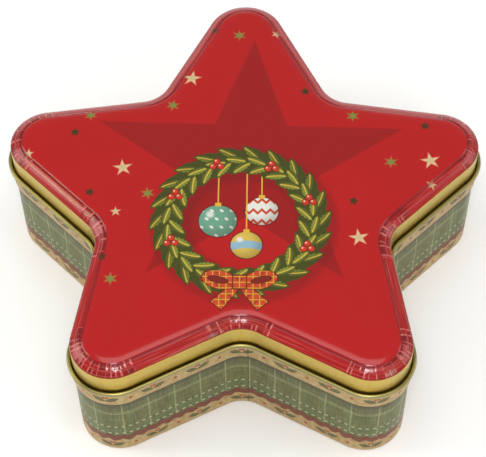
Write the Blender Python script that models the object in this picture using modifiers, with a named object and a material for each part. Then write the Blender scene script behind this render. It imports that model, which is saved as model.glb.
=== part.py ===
"""Star-shaped cookie tin with a lift-off lid, pressed from thin tinplate.

Three pieces: a strip bent into the star, closed by a lock seam and rolled out at its rim; a
bottom plate that lies on the strip's turned-in foot; and a lid whose skirt drops inside the rim
and rests on the shoulder below it.

Metres, +Z up. The origin is the middle of the outline's box on the plane that the foot stands
on, and one tip points to +Y. Every section is drawn as points (out, up): the distance outside
the star line and the height. The star line is the outer face of both the wall and the lid's
skirt.
"""

import math

import bmesh
import bpy
from mathutils import Vector

MM = 0.001

# The star line: five tip circles and five valley circles, joined by the lines that touch both
POINTS = 5
TIP_REACH = 107.0 * MM
VALLEY_REACH = 66.4 * MM
TIP_RADIUS = 17.3 * MM
VALLEY_RADIUS = 14.3 * MM
TIP_STEPS = 10
VALLEY_STEPS = 5

# The sheet, and the gap that separate pieces keep where they meet
SHEET = 0.3 * MM
SEAT_GAP = 0.3 * MM
WELD = 0.01 * MM

# Body
FOOT_WIDTH = 3.6 * MM
FOOT_RADIUS = 1.2 * MM
SHOULDER_HEIGHT = 42.2 * MM
NECK_ROOM = 0.85 * MM
RIM_HEIGHT = 51.5 * MM
CURL_RADIUS = 0.75 * MM
CURL_END = math.radians(-105)
CURL_STEPS = 7
CURL_STEPS_INSIDE = 5
BEND_STEPS = 2

# Lock seam: the strip's two ends hooked together inside the wall, right of the front valley
SEAM_SIDE = 2.7 * MM
SEAM_WIDTH = 4.5 * MM
SEAM_DEPTH = 0.5 * MM
SEAM_STEPS = 4

# Bottom plate
PLATE_BORDER = 7.0 * MM
PLATE_SLOPE = 1.0 * MM
PLATE_RAISE = 1.0 * MM
PLATE_RADIUS = 1.2 * MM
PLATE_EDGE = 3.6 * MM

# Lid
SKIRT_HEIGHT = 62.6 * MM
EDGE_RADIUS = 1.2 * MM
BEVEL_WIDTH = 4.6 * MM
BEVEL_RISE = 2.8 * MM
GROOVE_WIDTH = 0.6 * MM
GROOVE_DEPTH = 0.25 * MM
CROWN_WIDTH = 3.4 * MM
CROWN_RISE = 0.9 * MM
CROWN_STEPS = 4

# Print on the wall: fields of colour that end at these heights
TRIM_HEIGHT = 9.0 * MM
WAVE_HEIGHT = 13.0 * MM

# Colour, roughness and metallic value of each finish
FINISHES = {
    "red_print": ((0.50, 0.020, 0.018), 0.22, 0.0),
    "gold_skirt": ((0.52, 0.33, 0.075), 0.28, 0.8),
    "green_plaid": ((0.13, 0.15, 0.065), 0.35, 0.0),
    "tan_trim": ((0.42, 0.28, 0.13), 0.35, 0.0),
    "wavy_trim": ((0.22, 0.050, 0.035), 0.35, 0.0),
    "gold_lacquer": ((0.55, 0.45, 0.24), 0.28, 0.9),
    "bright_tin": ((0.55, 0.55, 0.53), 0.30, 1.0),
}


def clear_scene():
    """Remove every object of the start-up scene."""
    for obj in list(bpy.data.objects):
        bpy.data.objects.remove(obj, do_unlink=True)


def new_collection(name):
    """A collection in the scene."""
    group = bpy.data.collections.new(name)
    bpy.context.scene.collection.children.link(group)
    return group


def finish(name):
    """The material of one finish."""
    colour, roughness, metallic = FINISHES[name]
    material = bpy.data.materials.new(name)
    material.use_nodes = True
    shader = material.node_tree.nodes["Principled BSDF"]
    shader.inputs["Base Color"].default_value = (*colour, 1.0)
    shader.inputs["Roughness"].default_value = roughness
    shader.inputs["Metallic"].default_value = metallic
    material.diffuse_color = (*colour, 1.0)
    return material


def arc(centre, radius, start, end, steps):
    """Points of a circle's stretch, both ends included."""
    points = []
    for i in range(steps + 1):
        angle = start + (end - start) * i / steps
        points.append((centre[0] + radius * math.cos(angle), centre[1] + radius * math.sin(angle)))
    return points


def turned(point, angle):
    """A plan point turned about (0, 0)."""
    c = math.cos(angle)
    s = math.sin(angle)
    return (c * point[0] - s * point[1], s * point[0] + c * point[1])


def tip_angles():
    """Direction of each tip from the star's centre, anticlockwise from +Y."""
    return [math.pi / 2 + 2 * math.pi * i / POINTS for i in range(POINTS)]


def star_centre():
    """The star's centre on Y, set so that the outline reaches as far to +Y as to -Y."""
    lowest = min((TIP_REACH - TIP_RADIUS) * math.sin(angle) for angle in tip_angles()) - TIP_RADIUS
    return -(TIP_REACH + lowest) / 2


def star_circles():
    """Centres of a tip and a valley circle, and the angle of the normal of the line touching both.

    The tip lies on +X and the valley half a point further round. The line passes between the
    circles, so its normal n gives n.(valley - tip) = tip radius + valley radius.
    """
    tip = (TIP_REACH - TIP_RADIUS, 0.0)
    valley = turned((VALLEY_REACH + VALLEY_RADIUS, 0.0), math.pi / POINTS)
    across = (valley[0] - tip[0], valley[1] - tip[1])
    lean = math.acos((TIP_RADIUS + VALLEY_RADIUS) / math.hypot(*across))
    normal = math.atan2(across[1], across[0]) - lean
    return tip, valley, normal


def star_line():
    """The star line as one closed run of plan points, anticlockwise from the tip on +Y."""
    tip, valley, normal = star_circles()
    opposite = 2 * math.pi / POINTS - normal + math.pi
    tip_arc = arc(tip, TIP_RADIUS, -normal, normal, TIP_STEPS)
    valley_arc = arc(valley, VALLEY_RADIUS, normal + math.pi, opposite, VALLEY_STEPS)
    line = []
    for angle in tip_angles():
        line += [turned(point, angle) for point in tip_arc + valley_arc]
    return [(x, y + star_centre()) for x, y in line]


def seam_line():
    """The stretch of the star line under the lock seam, on the front valley's circle."""
    centre = (0.0, star_centre() - VALLEY_REACH - VALLEY_RADIUS)
    start = math.pi / 2 - (SEAM_SIDE - SEAM_WIDTH / 2) / VALLEY_RADIUS
    end = math.pi / 2 - (SEAM_SIDE + SEAM_WIDTH / 2) / VALLEY_RADIUS
    return arc(centre, VALLEY_RADIUS, start, end, SEAM_STEPS)


def shoulder_bend():
    """How much higher the sheet's inner face bends than its outer face, at a 45 degree slope."""
    return SHEET * math.tan(math.pi / 8)


def body_section():
    """Closed section of the strip: foot, wall, shoulder, neck and the curl rolled outwards."""
    bend = (-FOOT_RADIUS, FOOT_RADIUS)
    foot_in = -FOOT_WIDTH
    neck_in = NECK_ROOM
    neck_out = NECK_ROOM + SHEET
    curl = (neck_in + CURL_RADIUS, RIM_HEIGHT - CURL_RADIUS)
    slope_end = SHOULDER_HEIGHT + neck_out
    points = [(foot_in, 0.0)]
    points += arc(bend, FOOT_RADIUS, -math.pi / 2, 0.0, BEND_STEPS)
    points += [(0.0, TRIM_HEIGHT), (0.0, WAVE_HEIGHT)]
    points += [(0.0, SHOULDER_HEIGHT), (neck_out, slope_end)]
    points += arc(curl, CURL_RADIUS - SHEET, math.pi, CURL_END, CURL_STEPS_INSIDE)
    points += arc(curl, CURL_RADIUS, CURL_END, math.pi, CURL_STEPS)
    points += [(neck_in, slope_end + shoulder_bend()), (-SHEET, SHOULDER_HEIGHT + shoulder_bend())]
    points += arc(bend, FOOT_RADIUS - SHEET, 0.0, -math.pi / 2, BEND_STEPS)
    points += [(foot_in, SHEET)]
    return points


def seam_section():
    """Closed section of the lock seam: half in the wall, from above the plate to the shoulder."""
    low = PLATE_EDGE + SEAT_GAP
    high = SHOULDER_HEIGHT - SHEET
    face = -SHEET - SEAM_DEPTH
    core = -SHEET / 2
    return [(core, low), (core, high), (face, high - SEAM_DEPTH), (face, low + SEAM_DEPTH)]


def plate_section():
    """Underside of the bottom plate, from its raised middle to the top of its upturned edge."""
    land = SHEET + SEAT_GAP
    wall = -SHEET - SEAT_GAP
    corner = (wall - PLATE_RADIUS, land + PLATE_RADIUS)
    points = [(-PLATE_BORDER - PLATE_SLOPE, land + PLATE_RAISE), (-PLATE_BORDER, land)]
    points += arc(corner, PLATE_RADIUS, -math.pi / 2, 0.0, BEND_STEPS)
    points += [(wall, PLATE_EDGE)]
    return points


def skirt_end():
    """Height of the lid's flared lower edge, whose inner corner clears the shoulder's slope."""
    flare = NECK_ROOM - SEAT_GAP
    ledge = SHOULDER_HEIGHT + shoulder_bend() + SHEET + flare
    return ledge + SEAT_GAP * math.sqrt(2)


def lid_edge():
    """Centre of the rounding between skirt and bevel, and the angle at which it meets the bevel."""
    end = math.pi / 2 - math.atan2(BEVEL_RISE, BEVEL_WIDTH)
    return (-EDGE_RADIUS, SKIRT_HEIGHT - EDGE_RADIUS * math.tan(end / 2)), end


def lid_section():
    """Top face of the lid: panel, falling crown, groove, bevel, rounded edge and flared skirt.

    The crown is a parabola that leaves the panel level.
    """
    flare = NECK_ROOM - SEAT_GAP
    bevel_top = SKIRT_HEIGHT + BEVEL_RISE
    groove_in = -BEVEL_WIDTH - GROOVE_WIDTH
    points = []
    for i in range(CROWN_STEPS + 1):
        share = i / CROWN_STEPS
        fall = CROWN_RISE * (1 - share ** 2)
        points.append((groove_in - CROWN_WIDTH * (1 - share), bevel_top + fall))
    points += [(groove_in + GROOVE_WIDTH / 2, bevel_top - GROOVE_DEPTH), (-BEVEL_WIDTH, bevel_top)]
    centre, end = lid_edge()
    points += arc(centre, EDGE_RADIUS, end, 0.0, BEND_STEPS)
    points += [(0.0, skirt_end() + flare), (flare, skirt_end())]
    return points


def poly_curve(name, points, closed):
    """A curve object of one poly spline through (x, y) points."""
    curve = bpy.data.curves.new(name, 'CURVE')
    curve.dimensions = '3D'
    spline = curve.splines.new('POLY')
    spline.points.add(len(points) - 1)
    for target, point in zip(spline.points, points):
        target.co = (point[0], point[1], 0.0, 1.0)
    spline.use_cyclic_u = closed
    obj = bpy.data.objects.new(name, curve)
    bpy.context.scene.collection.objects.link(obj)
    return obj


def swept(name, group, line, section, line_closed=True, section_closed=True):
    """A mesh object: the section carried along a plan line, its first axis pointing outwards."""
    profile = poly_curve(name + "_section", section, section_closed)
    path = poly_curve(name + "_path", line, line_closed)
    path.data.twist_mode = 'Z_UP'
    path.data.bevel_mode = 'OBJECT'
    path.data.bevel_object = profile
    path.data.use_fill_caps = not line_closed
    bpy.context.view_layer.update()
    seen = path.evaluated_get(bpy.context.evaluated_depsgraph_get())
    mesh = bpy.data.meshes.new_from_object(seen)
    mesh.name = name
    bpy.data.objects.remove(path, do_unlink=True)
    bpy.data.objects.remove(profile, do_unlink=True)
    obj = bpy.data.objects.new(name, mesh)
    group.objects.link(obj)
    return obj


def weld_and_fill(obj, fill_height=None):
    """Weld the mesh, close the open loop at one height, and point all faces outwards."""
    work = bmesh.new()
    work.from_mesh(obj.data)
    bmesh.ops.remove_doubles(work, verts=work.verts, dist=WELD)
    if fill_height is not None:
        edges = [e for e in work.edges if e.is_boundary]
        loop = [e for e in edges if all(abs(v.co.z - fill_height) < WELD for v in e.verts)]
        bmesh.ops.edgeloop_fill(work, edges=loop)
    bmesh.ops.recalc_face_normals(work, faces=work.faces)
    work.to_mesh(obj.data)
    work.free()


def face_up(obj):
    """Turn an open sheet's faces so that its largest one looks up."""
    largest = max(obj.data.polygons, key=lambda face: face.area)
    if largest.normal.z < 0:
        obj.data.flip_normals()


def thicken(obj, side):
    """Give an open sheet its thickness, below its faces (-1) or above them (1)."""
    solid = obj.modifiers.new("sheet", 'SOLIDIFY')
    solid.thickness = SHEET
    solid.offset = side
    solid.use_even_offset = True


def colour_faces(obj, finishes, choose):
    """Give the object its materials, and each face the one whose number the rule returns."""
    for material in finishes:
        obj.data.materials.append(material)
    centre = Vector((0.0, star_centre()))
    for face in obj.data.polygons:
        outwards = face.normal.xy.dot(face.center.xy - centre) > 0
        face.material_index = choose(face.center.z, outwards)


def soft_edges(obj):
    """Shade the bends smoothly and keep the sheet's cut edges sharp."""
    obj.data.shade_smooth()
    obj.data.set_sharp_from_angle(angle=math.radians(50))


def make_body(group, tools):
    """The strip with its lock seam joined on inside the wall."""
    body = swept("body", group, star_line(), body_section())
    weld_and_fill(body)
    seam = swept("seam_fold", tools, seam_line(), seam_section(), line_closed=False)
    weld_and_fill(seam)
    seam.hide_render = True
    seam.display_type = 'WIRE'
    fields = (TRIM_HEIGHT, WAVE_HEIGHT, SHOULDER_HEIGHT, RIM_HEIGHT - 2 * CURL_RADIUS)

    def field(height, outwards):
        if not outwards or height > fields[3]:
            return 3
        if height < fields[0] or height > fields[2]:
            return 0
        return 1 if height < fields[1] else 2

    names = ("tan_trim", "wavy_trim", "green_plaid", "gold_lacquer")
    colour_faces(body, [finish(name) for name in names], field)
    soft_edges(body)
    join = body.modifiers.new("lock_seam", 'BOOLEAN')
    join.operation = 'UNION'
    join.solver = 'EXACT'
    join.object = seam
    return body


def make_bottom(group):
    """The bottom plate, seated on the foot with its edge turned up along the wall."""
    section = plate_section()
    bottom = swept("bottom", group, star_line(), section, section_closed=False)
    weld_and_fill(bottom, fill_height=section[0][1])
    face_up(bottom)
    colour_faces(bottom, [finish("bright_tin")], lambda height, outwards: 0)
    soft_edges(bottom)
    thicken(bottom, 1)
    return bottom


def make_lid(group):
    """The lid, with its own print and a gold skirt."""
    section = lid_section()
    lid = swept("lid", group, star_line(), section, section_closed=False)
    weld_and_fill(lid, fill_height=section[0][1])
    face_up(lid)
    centre, end = lid_edge()
    skirt_top = centre[1] + EDGE_RADIUS * math.sin(end / 2)
    colour_faces(
        lid,
        [finish("red_print"), finish("gold_skirt")],
        lambda height, outwards: 0 if height > skirt_top else 1,
    )
    soft_edges(lid)
    thicken(lid, -1)
    return lid


def main():
    clear_scene()
    tin = new_collection("star_cookie_tin")
    tools = new_collection("tin_tools")
    make_body(tin, tools)
    make_bottom(tin)
    make_lid(tin)


main()
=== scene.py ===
# %% [markdown]
# # A star-shaped biscuit tin
#
# The tin is three pieces of thin tinplate. A printed strip is bent into a star and locked to
# itself at a side seam; its rim is rolled outwards. A plain plate closes the bottom. The lid is
# drawn from one sheet, so the metal gathers into small creases round every tip and valley.
#
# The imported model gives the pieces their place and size. Here each one is made again as a fine
# surface, and the print is worked out in the materials.

# %% The frame
import math

import bpy
import numpy as np
from mathutils import Matrix, Vector


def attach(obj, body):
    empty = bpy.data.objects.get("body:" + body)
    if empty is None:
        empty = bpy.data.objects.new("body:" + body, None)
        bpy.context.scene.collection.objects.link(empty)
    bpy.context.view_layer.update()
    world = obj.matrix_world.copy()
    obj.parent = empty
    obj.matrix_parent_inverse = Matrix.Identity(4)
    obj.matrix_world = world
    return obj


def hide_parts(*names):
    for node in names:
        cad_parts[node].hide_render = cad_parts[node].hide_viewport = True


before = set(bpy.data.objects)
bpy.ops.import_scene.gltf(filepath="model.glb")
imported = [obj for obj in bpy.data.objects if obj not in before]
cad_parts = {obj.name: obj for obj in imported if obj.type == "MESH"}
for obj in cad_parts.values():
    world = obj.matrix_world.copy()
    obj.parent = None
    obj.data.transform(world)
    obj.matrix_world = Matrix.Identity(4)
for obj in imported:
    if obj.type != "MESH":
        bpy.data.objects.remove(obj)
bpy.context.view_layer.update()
MM = 0.001

# %% [markdown]
# ## The star line
#
# Every section of the tin follows one outline: the outer face of the wall and of the lid's skirt.
# It is a star with rounded tips and rounded valleys, built from five tip circles, five valley
# circles and the straight lines that touch both. A curve object could follow it, but a formula
# gives more: any distance round the star and any distance outwards becomes a point, so a whole
# surface is one array.

# %% Sizes of the outline, in millimetres
TIP_REACH = 107.0
VALLEY_REACH = 66.4
TIP_RADIUS = 17.3
VALLEY_RADIUS = 14.3
HALF_POINT = math.pi / 5

tip_centre = np.array([TIP_REACH - TIP_RADIUS, 0.0])
valley_way = np.array([math.cos(HALF_POINT), math.sin(HALF_POINT)])
valley_centre = (VALLEY_REACH + VALLEY_RADIUS) * valley_way
across = valley_centre - tip_centre
LEAN = math.acos((TIP_RADIUS + VALLEY_RADIUS) / np.hypot(*across))
SIDE_ANGLE = math.atan2(across[1], across[0]) - LEAN
TIP_RUN = TIP_RADIUS * SIDE_ANGLE
SIDE_RUN = math.hypot(*across) * math.sin(LEAN)
HALF_RUN = TIP_RUN + SIDE_RUN + VALLEY_RADIUS * (SIDE_ANGLE - HALF_POINT)
ROUND = 10 * HALF_RUN
lowest_tip = tip_centre[0] * math.sin(1.5 * math.pi - HALF_POINT) - TIP_RADIUS
CENTRE_Y = -(TIP_REACH + lowest_tip) / 2
print("once round the star:", round(ROUND, 1), "mm; star centre at y =", round(CENTRE_Y, 2), "mm")


# %% The outline as a formula
def star_line(around, out):
    """Points at distances `around` along the star line, moved `out` to its outside, in mm.

    Each of the five points is the same shape and is symmetric, so the distance is folded to w, the
    distance from the nearest tip. From w = 0 a tip circle turns the outward normal evenly up to
    the straight side's angle, which a valley circle then turns back to the middle of the valley.
    The point is a circle's centre plus or minus its radius along the normal, and `out` moves it
    along the same normal.
    """
    arm = np.floor(around / (2 * HALF_RUN) + 0.5)
    offset = around - 2 * HALF_RUN * arm
    w = np.abs(offset)
    stations = [0.0, TIP_RUN, TIP_RUN + SIDE_RUN, HALF_RUN]
    angle = np.interp(w, stations, [0.0, SIDE_ANGLE, SIDE_ANGLE, HALF_POINT])
    normal = np.stack([np.cos(angle), np.sin(angle)], -1)
    along = np.array([-math.sin(SIDE_ANGLE), math.cos(SIDE_ANGLE)])
    past_tip = np.clip(w - TIP_RUN, 0.0, SIDE_RUN)[..., None]
    from_tip = tip_centre + TIP_RADIUS * normal + past_tip * along
    from_valley = valley_centre - VALLEY_RADIUS * normal
    point = np.where((w > TIP_RUN + SIDE_RUN)[..., None], from_valley, from_tip)
    point = point + out[..., None] * normal
    y = point[..., 1] * np.sign(offset)
    turn = math.pi / 2 + 2 * HALF_POINT * arm
    return np.stack([
        point[..., 0] * np.cos(turn) - y * np.sin(turn),
        point[..., 0] * np.sin(turn) + y * np.cos(turn) + CENTRE_Y,
    ], -1)


def columns(tip_step, valley_step, side_step, start=0.0):
    """Distances round the star for a grid's columns: close together on the arcs, wide between."""
    margin = 5.0
    breaks = [0.0, TIP_RUN + margin, TIP_RUN + SIDE_RUN - margin, HALF_RUN]
    steps = [tip_step, side_step, valley_step]
    half = [np.linspace(a, b, math.ceil((b - a) / step), endpoint=False)
            for a, b, step in zip(breaks, breaks[1:], steps)]
    half = np.concatenate(half + [[HALF_RUN]])
    tips = 2 * HALF_RUN * np.arange(6)[:, None]
    both = np.concatenate([tips + half, tips - half]).ravel()
    moved = np.append((both - start) % ROUND, 0.0)
    return start + np.unique(np.round(moved, 4))


# %% [markdown]
# ## A sheet's section
#
# Tinplate has the same thickness everywhere, so a section is drawn as the middle of the sheet: a
# line with rounded corners. Its two faces lie half a thickness to either side. A Solidify
# modifier would do the same, but with both faces in one grid the creases, the print and the
# inside lacquer can each be put exactly where they belong.

# %% Section helpers
SHEET = 0.3


def ramp(value, start, width):
    """0 up to `start`, then rising evenly to 1 over `width`."""
    return np.clip((value - start) / width, 0, 1)


def bell(distance, width):
    """1 at distance 0, falling off smoothly to both sides."""
    return np.exp(-(distance / width) ** 2)


def bend(centre, radius, start, end, step):
    """Points on a circle from one angle to another, in degrees, at most `step` degrees apart."""
    angle = np.radians(np.linspace(start, end, math.ceil(abs(end - start) / step) + 1))
    return np.array(centre) + radius * np.stack([np.cos(angle), np.sin(angle)], -1)


def rounded(corners, radius, step):
    """A line through `corners` whose inner corners are arcs of `radius`.

    The arc touches both sides, so its centre lies on the line that halves the corner's angle, at
    radius / sin(half the angle) from the corner.
    """
    corners = [np.array(corner, float) for corner in corners]
    parts = [corners[:1]]
    for before, corner, after in zip(corners, corners[1:], corners[2:]):
        back = (before - corner) / np.linalg.norm(before - corner)
        on = (after - corner) / np.linalg.norm(after - corner)
        half = math.acos(np.clip(back @ on, -1, 1)) / 2
        middle = (back + on) / np.linalg.norm(back + on)
        centre = corner + middle * radius / math.sin(half)
        start = corner + back * radius / math.tan(half) - centre
        turn = math.pi - 2 * half
        turn = turn if start[1] * back[0] - start[0] * back[1] > 0 else -turn
        first = math.degrees(math.atan2(start[1], start[0]))
        parts.append(bend(centre, radius, first, first + math.degrees(turn), step))
    return np.concatenate(parts + [corners[-1:]])


def filled_in(line, step):
    """The same line with points added where two neighbours are more than `step` apart."""
    length = np.append(0.0, np.cumsum(np.linalg.norm(np.diff(line, axis=0), axis=1)))
    extra = [np.linspace(a, b, math.ceil((b - a) / step), endpoint=False)
             for a, b in zip(length, length[1:]) if b - a > 1e-6]
    at = np.append(np.concatenate(extra), length[-1])
    return np.stack([np.interp(at, length, line[:, 0]), np.interp(at, length, line[:, 1])], -1)


def face_of(line, side):
    """One face of the sheet whose middle is `line`: half a thickness along the line's normal.

    The normal is the direction of travel turned a quarter left, and `side` is 1 for that side or
    -1 for the other.
    """
    travel = np.gradient(line, axis=0)
    travel /= np.linalg.norm(travel, axis=1)[:, None]
    normal = np.stack([-travel[:, 1], travel[:, 0]], -1)
    return line + side * SHEET / 2 * normal


# Sizes of the rings that close a section towards the middle of the star, as shares of its outline
RINGS = np.array([0.1, 0.3, 0.5, 0.7, 0.88])


def closed_in(first, second):
    """A section of both faces that runs in to the middle of the star, and how far each row shrinks."""
    ends = [np.tile(line, (len(RINGS), 1)) for line in (first[:1], second[-1:])]
    section = np.concatenate([ends[0], first, second, ends[1]])
    return section, np.concatenate([RINGS, np.ones(len(first) + len(second)), RINGS[::-1]])


# %% [markdown]
# ## From a grid to a mesh
#
# A section of m points carried past n columns is an m by n grid of points. Neighbours in the grid
# are joined by quads, and the last column joins the first, because the star line is closed. The
# body's section is closed too. The lid's and the bottom's run in to the middle of the star, where
# a fan of triangles closes them. Each face corner also gets a UV: the distance round the star and
# the height, in millimetres, so that the print can be laid out as on the flat sheet.

# %% Objects and the mesh builder
# Faces that meet at more than this angle are shaded as an edge
SHARP_ANGLE = math.radians(50)


def new_object(name, data):
    """An object in the scene with this mesh, light or camera."""
    obj = bpy.data.objects.new(name, data)
    bpy.context.scene.collection.objects.link(obj)
    return obj


def grid_mesh(name, points, around, height, section_closed):
    """A mesh object from points[i, j], row i of the section and column j round the star.

    Corners of a face are (i, j), (i+1, j), (i+1, j+1), (i, j+1), with j wrapped. Where the section
    is open, its first and last rows each join a pole, which is the mean of the row.
    """
    rows, count = points.shape[:2]
    last = rows if section_closed else rows - 1
    i, j = np.meshgrid(np.arange(last), np.arange(count), indexing="ij")
    below, beside = (i + 1) % rows, (j + 1) % count
    upper, lower = i * count, below * count
    quads = np.stack([upper + j, lower + j, lower + beside, upper + beside], -1)
    u_start, u_end = around[j], around[j + 1]
    uv = np.stack([
        np.stack([u_start, u_start, u_end, u_end], -1),
        np.stack([height[i], height[below], height[below], height[i]], -1),
    ], -1).reshape(-1, 2)
    places = points.reshape(-1, 3)
    corner_list = [quads.reshape(-1)]
    sizes = [np.full(quads.shape[0] * quads.shape[1], 4)]
    if not section_closed:
        first, end = points[0].mean(0), points[-1].mean(0)
        places = np.concatenate([places, [first, end]])
        j = np.arange(count)
        beside = (j + 1) % count
        pole = np.full(count, rows * count)
        last_row = (rows - 1) * count
        fans = [(pole, j, beside, height[0]), (pole + 1, beside + last_row, j + last_row, height[-1])]
        for a, b, c, level in fans:
            corner_list.append(np.stack([a, b, c], -1).reshape(-1))
            sizes.append(np.full(count, 3))
            u = np.stack([around[j], around[j], around[j + 1]], -1).reshape(-1)
            uv = np.concatenate([uv, np.stack([u, np.full(3 * count, level)], -1)])
    sizes = np.concatenate(sizes)
    corner_list = np.concatenate(corner_list)
    mesh = bpy.data.meshes.new(name)
    mesh.vertices.add(len(places))
    mesh.vertices.foreach_set("co", (places * MM).astype(np.float32).reshape(-1))
    mesh.loops.add(len(corner_list))
    mesh.loops.foreach_set("vertex_index", corner_list.astype(np.int32))
    mesh.polygons.add(len(sizes))
    mesh.polygons.foreach_set("loop_start", (np.cumsum(sizes) - sizes).astype(np.int32))
    mesh.uv_layers.new(name="print")
    mesh.update(calc_edges=True)
    mesh.uv_layers["print"].uv.foreach_set("vector", uv.astype(np.float32).reshape(-1))
    mesh.shade_smooth()
    mesh.set_sharp_from_angle(angle=SHARP_ANGLE)
    mesh.calc_loop_triangles()
    obj = new_object(name, mesh)
    size = [round(value / MM, 1) for value in obj.dimensions]
    print(f"{name}: {size} mm, {len(mesh.loop_triangles)} triangles")
    return obj


def carried(section, around, shrink=None):
    """The section carried round the star: a grid of points in mm, and its rows' heights."""
    out, up = section[:, :1], section[:, 1:]
    place = star_line(around[None, :-1] + 0 * out, out + 0 * around[None, :-1])
    if shrink is not None:
        middle = np.array([0.0, CENTRE_Y])
        place = middle + shrink[:, None, None] * (place - middle)
    z = np.broadcast_to(up, place.shape[:2])
    return np.concatenate([place, z[..., None]], -1), section[:, 1]


def paint_faces(obj, materials, numbers):
    """Give a piece its materials, and each of its faces the number of one of them."""
    for material in materials:
        obj.data.materials.append(material)
    obj.data.polygons.foreach_set("material_index", numbers.astype(np.int32))


def second_face(obj, section, around, first_rows):
    """True for the mesh faces of a closed-in sheet that lie past the section's `first_rows` points.

    Quads come row by row, then the fan of the first pole and that of the last one.
    """
    count = len(around) - 1
    number = np.arange(len(obj.data.polygons))
    fan = number - (len(section) - 1) * count
    return np.where(fan < 0, number // count >= first_rows - 1, fan >= count)


# %% [markdown]
# ## Shader maths as Python
#
# A print is a sum of masks: bands, lines, dots and leaves. Wired by hand, each would be a page of
# nodes. A small class that wraps a socket lets Python expressions add the Math nodes, so a mask
# reads like its formula.

# %% Sockets that can be added and multiplied
class Value:
    """A number or colour in a material's node tree; arithmetic on it adds Math nodes."""

    def __init__(self, paint, socket):
        self.paint = paint
        self.socket = socket

    def math(self, operation, *others):
        return self.paint.add("Math", [self, *others], operation=operation)

    def __add__(self, other):
        return self.math("ADD", other)

    __radd__ = __add__

    def __mul__(self, other):
        return self.math("MULTIPLY", other)

    def __sub__(self, other):
        return self.math("SUBTRACT", other)

    def __rsub__(self, other):
        return self.paint.add("Math", [other, self], operation="SUBTRACT")

    def __truediv__(self, other):
        return self.math("DIVIDE", other)

    def __abs__(self):
        return self.math("ABSOLUTE")

    def __lt__(self, other):
        return self.math("LESS_THAN", other)


class Paint:
    """A material, with one method that adds any node and a few that name common ones."""

    def __init__(self, name):
        self.material = bpy.data.materials.new(name)
        self.material.use_nodes = True
        self.tree = self.material.node_tree
        self.shader = self.tree.nodes["Principled BSDF"]

    def feed(self, socket, value):
        if isinstance(value, Value):
            self.tree.links.new(value.socket, socket)
        else:
            socket.default_value = value

    def add(self, kind, inputs=(), output=0, **settings):
        """Add a node: its settings first, then its inputs by order or by name."""
        node = self.tree.nodes.new("ShaderNode" + kind)
        for key, value in settings.items():
            setattr(node, key, value)
        pairs = inputs.items() if isinstance(inputs, dict) else enumerate(inputs)
        for key, value in pairs:
            self.feed(node.inputs[key], value)
        return Value(self, node.outputs[output])

    def split(self, vector):
        """The x, y and z of a vector."""
        node = self.add("SeparateXYZ", [vector]).socket.node
        return [Value(self, socket) for socket in node.outputs]

    def rise(self, value, at, soft):
        """0 below `at` and 1 above it, eased over the width `soft`."""
        ends = {"Value": value, "From Min": at - soft / 2, "From Max": at + soft / 2}
        return self.add("MapRange", ends, interpolation_type="SMOOTHSTEP")

    def within(self, distance, reach, soft):
        """1 where the distance is under `reach`, eased over `soft`."""
        ends = {"Value": distance, "From Min": reach - soft / 2, "From Max": reach + soft / 2,
                "To Min": 1.0, "To Max": 0.0}
        return self.add("MapRange", ends, interpolation_type="SMOOTHSTEP")

    def over(self, base, colour, mask):
        """A colour laid over another through a mask."""
        inputs = {0: mask, 6: base, 7: colour}
        return self.add("Mix", inputs, 2, data_type="RGBA", clamp_factor=True)

    def laid(self, base, colour, distance, reach, soft, share=1.0):
        """A colour laid over another where a distance is under `reach`, at a share of its strength."""
        return self.over(base, colour, self.within(distance, reach, soft) * share)

    def outlined(self, base, shape, edge, fill, reach=0.0, rim=0.35):
        """A shape filled up to `reach` and edged with another colour up to `rim` further out."""
        base = self.laid(base, edge, shape, reach + rim, 0.3)
        return self.laid(base, fill, shape, reach, 0.3)

    def repeat(self, value, period):
        """The distance to the nearest multiple of a period: a row of peaks and zeros."""
        return self.add("Math", [value, period / 2], operation="PINGPONG")

    def length(self, x, y):
        return (x * x + y * y).math("SQRT")

    def noise(self, vector, scale, detail=2.0):
        inputs = {"Vector": vector, "Scale": scale, "Detail": detail}
        return self.add("TexNoise", inputs, "Fac")

    def streaks(self, x, y, z, detail=2.0):
        """Noise drawn out along each axis by as much as that axis is scaled down."""
        return self.noise(self.add("CombineXYZ", [x, y, z]), 1.0, detail)

    def grain(self, place, scales, detail=2.0):
        """The same for a vector with one scale for each axis."""
        scaled = self.add("VectorMath", [place, scales], operation="MULTIPLY")
        return self.noise(scaled, 1.0, detail)

    def place(self):
        """Object coordinates in millimetres."""
        at = self.add("TexCoord", output="Object")
        return self.add("VectorMath", {0: at, "Scale": 1 / MM}, operation="SCALE")

    def print_place(self):
        """The print's own coordinates: distance round the star and height, in millimetres."""
        uv = self.add("UVMap", uv_map="print")
        return self.split(uv)[:2]

    def finish(self, **inputs):
        """Set the shader's sockets; underscores in the names stand for spaces."""
        for key, value in inputs.items():
            self.feed(self.shader.inputs[key.replace("_", " ")], value)
        return self.material

    def bumped(self, height, strength):
        inputs = {"Height": height, "Strength": strength, "Distance": MM}
        return self.add("Bump", inputs, "Normal")


def ink(red, green, blue):
    """A printed colour from 0 to 255 per channel, as the shader's linear values."""
    share = np.array([red, green, blue]) / 255
    linear = np.where(share <= 0.04045, share / 12.92, ((share + 0.055) / 1.055) ** 2.4)
    return (*linear.tolist(), 1.0)


# %% [markdown]
# ## Stars, leaves and dots
#
# The print's shapes are distances: negative inside, positive outside. A five-pointed star folds
# the angle round its centre, so that one straight edge from tip to valley draws all ten. Dozens
# of small stars would need dozens of copies, so the nearest star's centre is picked first and
# the shape is drawn once around it.

# %% Printed shapes
SCALLOP_DEPTH = 0.28


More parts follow.
